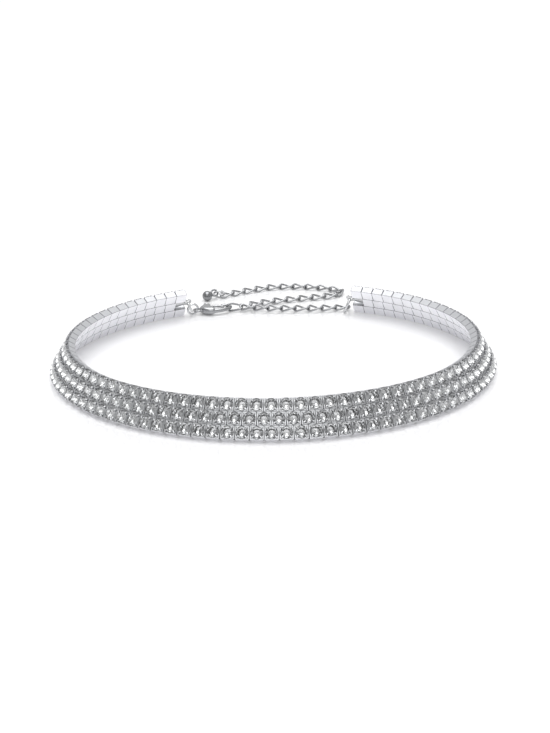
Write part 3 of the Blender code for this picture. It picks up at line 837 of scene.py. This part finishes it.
def bowed_run(start, end):
    """Joints of whole links from one point to another, with the slack taken up as a bow."""
    straight = (end - start).length
    links = math.ceil(straight / link_pitch())
    least = 0.0
    most = straight
    steps = [step / BOW_STEPS for step in range(BOW_STEPS + 1)]

    def joints_at(bow):
        return joints_along([start.lerp(end, t) - Vector((0, 4 * bow * t * (1 - t), 0)) for t in steps])

    while most - least > BOW_TOLERANCE:
        bow = (least + most) / 2
        if len(joints_at(bow)) <= links:
            least = bow
        else:
            most = bow
    return joints_at(most)


def link_frame(first, second, roll=0.0):
    """Frame of a link between two joints, rolled about its length."""
    return frame_of((first + second) / 2, second - first, UP) @ Matrix.Rotation(roll, 4, "X")


def chain_frames():
    """Frames of the caught link, the run to the right ring and the tail."""
    rest = Vector((0, 0, LINK_WIRE / 2 - min(point.z for point in link_points(LINK_LENGTH, 2))))
    nose = clasp_matrix() @ hook_point(NOSE_TURN)
    caught_start = nose - CAUGHT_PULL * (HOOK_NOSE_WIRE / 2 + GAP + LINK_WIRE / 2)
    caught_end = caught_start + CAUGHT_PULL * (link_pitch() + (LINK_WIRE - LINK_SINK) / 2)
    hold, axis = loop_place(1)
    centre_diameter = RIGHT_RING_DIAMETER - RING_WIRE
    centre = hold + RIGHT_RING_LEAN * centre_diameter / 2
    across = (axis - RIGHT_RING_LEAN * axis.dot(RIGHT_RING_LEAN)).normalized()
    ring_reach = RIGHT_RING_LEAN * math.cos(CHAIN_TURN) + across * math.sin(CHAIN_TURN)
    chain_start = centre + ring_reach * centre_diameter / 2 + RIGHT_CHAIN_OFFSET
    run = bowed_run(caught_end, chain_start)
    route = [caught_end, *[point + COLLAR_CENTRE + rest for point in TAIL_ROUTE]]
    tail = joints_along(smooth_route(route))
    frames = [link_frame(caught_start, caught_start + CAUGHT_PULL * (LINK_LENGTH - LINK_WIRE), LINK_TWIST)]
    frames += [link_frame(second, first) for first, second in zip(run, run[1:])]
    frames[-1] = link_frame(run[-1], run[-2], FIRST_ROLL)
    frames += [link_frame(first, second) for first, second in zip(tail, tail[1:])]
    return frames, tail[-2:]


def build_chain(material):
    """Twisted curb links that hang in each other, where the solids are sunk together."""
    points = link_points(link_pitch() + 2 * LINK_WIRE - LINK_PLAY)
    link = tube(points, [LINK_WIRE] * len(points), True, sides=12, start_side=UP)
    frames, tail_end = chain_frames()
    vertices, faces = joined([laid_on_floor(moved(link, matrix)) for matrix in frames])
    item = turned_outwards(mesh_object("extender_links", vertices, faces, [material], smooth=True))
    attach(item, CHOKER)
    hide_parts("extender_chain")
    return tail_end


# ---- Lobster clasp

def clasp_point(length_share, width_share):
    """Point of the clasp's frame, by shares of its length and width."""
    return Vector((length_share * CLASP_LENGTH, width_share * CLASP_WIDTH, 0))


def clasp_matrix():
    """The clasp's frame, which starts at the end of its eye."""
    pivot = Vector(frame["joints"][0]["pos_m"])
    turn = Matrix.Rotation(CLASP_YAW, 4, "Z")
    return Matrix.Translation(pivot) @ turn @ Matrix.Translation(-clasp_point(*PIVOT))


def hook_point(turn):
    """Point of the hook's wire, which follows half an oval."""
    half_length = CLASP_LENGTH * (1 - HOOK_CENTRE) - HOOK_NOSE_WIRE / 2
    half_width = (CLASP_WIDTH - HOOK_ROOT_WIRE) / 2
    centre = clasp_point(HOOK_CENTRE, 0)
    return centre + Vector((half_length * math.cos(turn), half_width * math.sin(turn), 0))


def rounded_outline(shares, rounds=2):
    """Outline with its corners cut again and again until they are round."""
    points = [clasp_point(*share) for share in shares]
    for _ in range(rounds):
        finer = []
        for first, second in zip(points, [*points[1:], points[0]]):
            finer += [first.lerp(second, 0.25), first.lerp(second, 0.75)]
        points = finer
    return points


def pillow(outline, thickness):
    """Plate whose edges are worn round: narrower towards its two faces."""
    middle = sum(outline, Vector()) / len(outline)
    return lofted([
        [middle.lerp(point, share) + UP * rise * thickness for point in outline]
        for rise, share in WORN_EDGE
    ])


def add_melt(item, voxel):
    """Modifier that melts overlapping shapes into one skin."""
    melt = item.modifiers.new("melt", "REMESH")
    melt.mode = "VOXEL"
    melt.voxel_size = voxel


def cast_metal(name, parts, cut, voxel, smoothing, material, matrix):
    """Shapes melted into one casting and cut by another, with edges and hollows softened."""
    item = turned_outwards(mesh_object(name, *joined(parts), [material]))
    add_melt(item, voxel)
    apply_modifiers(item)
    cutter = turned_outwards(mesh_object(name + "_cutter", *cut, []))
    slot = item.modifiers.new("cut", "BOOLEAN")
    slot.operation = "DIFFERENCE"
    slot.solver = "EXACT"
    slot.object = cutter
    bpy.context.view_layer.update()
    apply_modifiers(item)
    bpy.data.objects.remove(cutter)
    add_melt(item, voxel)
    soften = item.modifiers.new("soften", "SMOOTH")
    soften.factor = 0.5
    soften.iterations = smoothing
    apply_modifiers(item)
    item.data.transform(matrix)
    item.data.materials.clear()
    item.data.materials.append(material)
    item.data.polygons.foreach_set("use_smooth", [True] * len(item.data.polygons))
    return item


def build_clasp(material):
    """Clasp body with its eye, hook, lever slot and rivet, and the sprung lever on its own body."""
    matrix = clasp_matrix()
    pivot = clasp_point(*PIVOT)
    room = BOSS_DIAMETER / 2 + GAP
    turns = np.linspace(HOOK_START, HOOK_END, HOOK_POINTS)
    shares = np.clip((turns - HOOK_START) / (HOOK_TAPER_END - HOOK_START), 0, 1)
    sizes = [HOOK_ROOT_WIRE + share * (HOOK_NOSE_WIRE - HOOK_ROOT_WIRE) for share in shares]
    hook = tube([hook_point(turn) for turn in turns], sizes, False, sides=20)
    eye_radius = (CLASP_EYE_HOLE + CLASP_EYE_WIRE) / 2
    eye_centre = Vector((CLASP_EYE_HOLE / 2 + CLASP_EYE_WIRE, 0, 0))
    eye_ring = circle_points(eye_centre, eye_radius, EYE_POINTS)
    eye = tube(eye_ring, [CLASP_EYE_WIRE] * EYE_POINTS, True, sides=16)
    body = pillow(rounded_outline(CLASP_OUTLINE), CLASP_THICKNESS)
    slot_end = clasp_point(CLASP_SLOT_END, 0).x
    slot = plate(
        [Vector((pivot.x - room, pivot.y - room, 0)), Vector((slot_end, pivot.y - room, 0)),
         Vector((slot_end, CLASP_WIDTH, 0)), Vector((pivot.x - room, CLASP_WIDTH, 0))],
        LEVER_THICKNESS + 2 * GAP,
    )
    shapes = [body, hook, eye]
    clasp = cast_metal("lobster_clasp", shapes, slot, CLASP_MELT, CLASP_SMOOTHING, material, matrix)
    pin = plate(circle_points(pivot, PIN_DIAMETER / 2, PIN_POINTS), CLASP_THICKNESS + RIVET_HEAD)
    rivet = mesh_object("clasp_rivet", *moved(pin, matrix), [material])
    dome = rivet.modifiers.new("domed_head", "BEVEL")
    dome.width = RIVET_DOME
    dome.segments = EDGE_SEGMENTS
    apply_modifiers(turned_outwards(rivet))
    shape = bmesh.new()
    shape.from_mesh(clasp.data)
    shape.from_mesh(rivet.data)
    shape.to_mesh(clasp.data)
    shape.free()
    bpy.data.objects.remove(rivet)
    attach(clasp, CHOKER)
    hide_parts("clasp_body")

    path = smooth_route([clasp_point(*share) for share in LEVER_ARM], detail=6)
    arm = tube(path, [LEVER_ARM_WIRE] * len(path), False, sides=16)
    reach = TRIGGER_LEAN * (BOSS_DIAMETER / 2 + TRIGGER_LENGTH)
    rises = [pivot + reach * (step / TRIGGER_STEPS) for step in range(1, TRIGGER_STEPS + 1)]
    sizes = [LEVER_ARM_WIRE] * (len(rises) - 1) + [LEVER_ARM_WIRE * TRIGGER_TIP_SHARE]
    trigger = tube(rises, sizes, False, sides=16)
    boss = plate(circle_points(pivot, BOSS_DIAMETER / 2, BOSS_POINTS), LEVER_THICKNESS)
    hole = plate(circle_points(pivot, PIN_DIAMETER / 2 + GAP / 2, HOLE_POINTS), 2 * CLASP_THICKNESS)
    shapes = [boss, arm, trigger]
    lever = cast_metal("thumb_lever", shapes, hole, LEVER_MELT, LEVER_SMOOTHING, material, matrix)
    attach(lever, LEVER)
    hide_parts("clasp_lever")


# ---- Ball drop

def build_ball(material, ring_centre, tail_end):
    """Polished ball with its wire loop, lying beyond the drop ring at the chain's free end."""
    pull = (tail_end[1] - tail_end[0]).normalized()
    lean = (pull + UP * DROP_RING_RISE).normalized()
    hang_point = ring_centre + lean * (DROP_RING_DIAMETER - RING_WIRE) / 2
    radius = BALL_DIAMETER / 2
    loop_radius = (DROP_LOOP_HOLE + DROP_LOOP_WIRE) / 2
    centre = hang_point + Vector((pull.x, pull.y, 0)).normalized() * (radius + loop_radius)
    centre.z = COLLAR_CENTRE.z + radius
    to_loop = (hang_point - centre).normalized()
    axis = UP + UP.cross(pull)
    matrix = frame_of(centre, to_loop, axis)
    collar = radius * BALL_COLLAR
    profile = [
        (-radius * math.cos(turn), radius * math.sin(turn))
        for turn in np.linspace(0, math.pi - math.asin(BALL_COLLAR), BALL_LEVELS)
    ]
    profile += [(radius * reach, collar * width) for reach, width in BALL_NECK]
    ring = circle_points(Vector((radius + loop_radius, 0, 0)), loop_radius, DROP_LOOP_POINTS)
    loop = tube(ring, [DROP_LOOP_WIRE] * DROP_LOOP_POINTS, True)
    shape = joined([turned(profile, BALL_POINTS), loop])
    item = turned_outwards(mesh_object("ball_with_loop", *moved(shape, matrix), [material], smooth=True))
    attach(item, CHOKER)
    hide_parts("ball_drop")


# ---- Floor, light and camera

def build_studio(materials):
    """The lit sheet that the choker stands on, and the room whose light falls on them."""
    corners = [(x * FLOOR_HALF, y * FLOOR_HALF, 0) for x, y in ((-1, -1), (1, -1), (1, 1), (-1, 1))]
    floor = mesh_object("floor_sheet", corners, [(0, 1, 2, 3)], [materials["floor"]])

    # A dim room with a white sweep behind, a round softbox high in front and a wider one overhead
    world = bpy.data.worlds.new("studio")
    world.use_nodes = True
    bpy.context.scene.world = world
    direction = add_node(world, "ShaderNodeTexCoord")
    split = add_node(world, "ShaderNodeSeparateXYZ", Vector=direction.outputs["Generated"])
    key_ray = (0, -math.cos(KEY_ELEVATION), math.sin(KEY_ELEVATION))
    towards_key = add_node(
        world, "ShaderNodeVectorMath", {"operation": "DOT_PRODUCT", 1: key_ray},
        Vector=direction.outputs["Generated"],
    )
    glows = []
    for output, fade, low, high in (
        (split.outputs["Y"], SWEEP_FADE, ROOM_LIGHT, SWEEP_LIGHT),
        (towards_key.outputs["Value"], KEY_FADE, 0.0, KEY_LIGHT),
        (split.outputs["Z"], TOP_FADE, 0.0, TOP_LIGHT),
    ):
        glow = add_node(
            world, "ShaderNodeMapRange",
            {"interpolation_type": "SMOOTHSTEP", "From Min": fade[0], "From Max": fade[1],
             "To Min": low, "To Max": high},
            Value=output,
        )
        glows.append(glow.outputs["Result"])
    light = glows[0]
    for glow in glows[1:]:
        total = add_node(world, "ShaderNodeMath", {"operation": "ADD"}, Value=light, _1=glow)
        light = total.outputs["Value"]
    world.node_tree.links.new(light, world.node_tree.nodes["Background"].inputs["Color"])


def build_camera():
    """The photo's angle: from low in front, through a long lens."""
    towards = Vector((0, -math.cos(CAMERA_ELEVATION), math.sin(CAMERA_ELEVATION)))
    data = bpy.data.cameras.new("camera")
    data.lens = CAMERA_LENS
    data.sensor_width = CAMERA_SENSOR
    data.sensor_fit = "AUTO"
    data.shift_x, data.shift_y = CAMERA_SHIFT
    data.clip_start, data.clip_end = CAMERA_CLIP
    camera = bpy.data.objects.new("camera", data)
    camera.matrix_world = (
        Matrix.Translation(COLLAR_CENTRE + towards * CAMERA_DISTANCE)
        @ towards.to_track_quat("Z", "Y").to_matrix().to_4x4()
        @ Matrix.Rotation(CAMERA_ROLL, 4, "Z")
    )
    bpy.context.scene.collection.objects.link(camera)
    bpy.context.scene.camera = camera


def main():
    build_camera()
    materials = make_materials()
    build_rows(materials)
    build_end_tab("right_end_tab", "end_tab_right", 1, materials["plate"])
    build_end_tab("left_end_tab", "end_tab_left", -1, materials["plate"])
    build_ring("right_jump_ring", "jump_ring_right", materials["plate"])
    build_ring("left_jump_ring", "jump_ring_left", materials["plate"])
    build_ring("clasp_jump_ring", "clasp_ring", materials["plate"])
    drop_ring_centre = build_ring("drop_jump_ring", "drop_ring", materials["plate"])
    tail_end = build_chain(materials["wire"])
    build_clasp(materials["wire"])
    build_ball(materials["ball"], drop_ring_centre, tail_end)
    build_studio(materials)
    bpy.context.scene.view_settings.view_transform = "Standard"


main()
bpy.context.view_layer.update()
